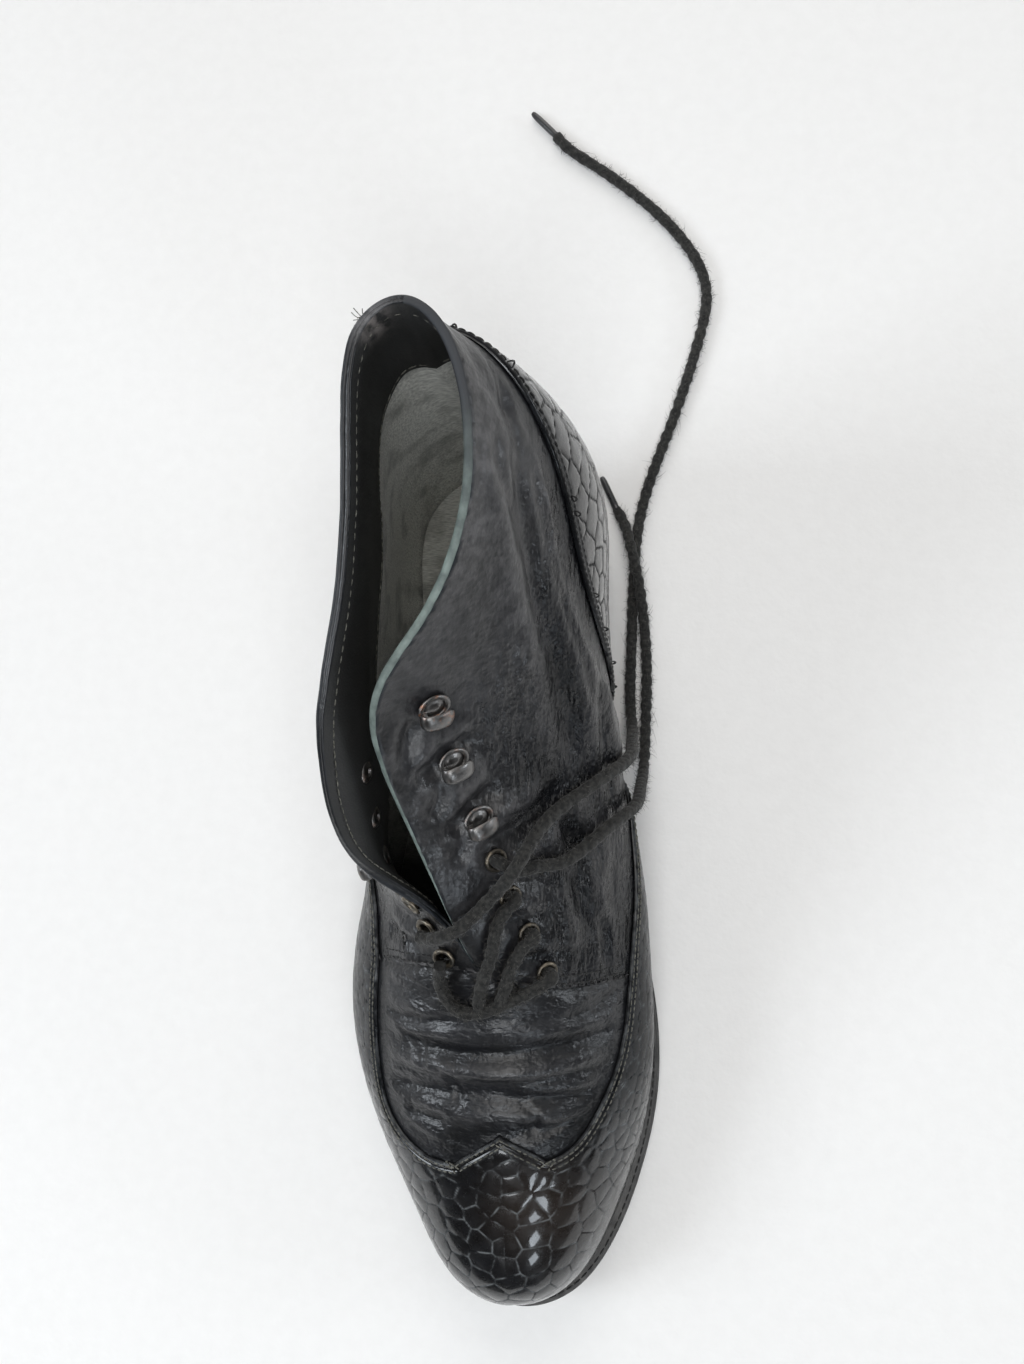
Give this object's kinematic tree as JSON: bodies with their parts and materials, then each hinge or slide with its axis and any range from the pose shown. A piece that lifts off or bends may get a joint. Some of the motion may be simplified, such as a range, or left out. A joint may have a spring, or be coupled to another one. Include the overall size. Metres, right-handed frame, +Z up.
{
  "type": "lace-up ankle boot",
  "caption": "Black leather lace-up ankle boot for the right foot, open at a slack collar, with embossed winged toe cap and heel counter, eyelets, hooks and a loose lace.",
  "frame": {"origin": "on the floor, under the middle of the boot's length and breadth, without the loose lace ends", "axes": "+Z up, +Y from the toe to the heel, +X to the inner side of the foot"},
  "size_m": [0.1288, 0.4402, 0.1649],
  "materials": {
    "leather": "soft worn calf with a low sheen",
    "croc": "glossy scale-embossed leather",
    "rubber": "black, satin edge",
    "welt": "black stained edge with stitches",
    "cloth": "grey twill",
    "metal": "dark nickel, worn to copper in places",
    "lace": "round fuzzy cord, faded black",
    "plastic": "black sleeve"
  },
  "bodies": {
    "root": {"outsole": "rubber", "heel_block": "rubber", "heel_top_lift": "rubber", "welt": "welt", "insole": "cloth", "upper": "leather", "toe_cap": "croc", "heel_counter": "croc", "eyelet_lateral_1": "metal", "eyelet_lateral_2": "metal", "eyelet_lateral_3": "metal", "eyelet_lateral_4": "metal", "hook_lateral_1": "metal", "hook_lateral_2": "metal", "hook_lateral_3": "metal", "eyelet_medial_1": "metal", "eyelet_medial_2": "metal", "eyelet_medial_3": "metal", "eyelet_medial_4": "metal", "hook_medial_1": "metal", "hook_medial_2": "metal", "hook_medial_3": "metal", "lace_bars": "lace", "lace_end_long": "lace", "lace_end_short": "lace", "aglet_long": "plastic", "aglet_short": "plastic"}
  },
  "joints": []
}
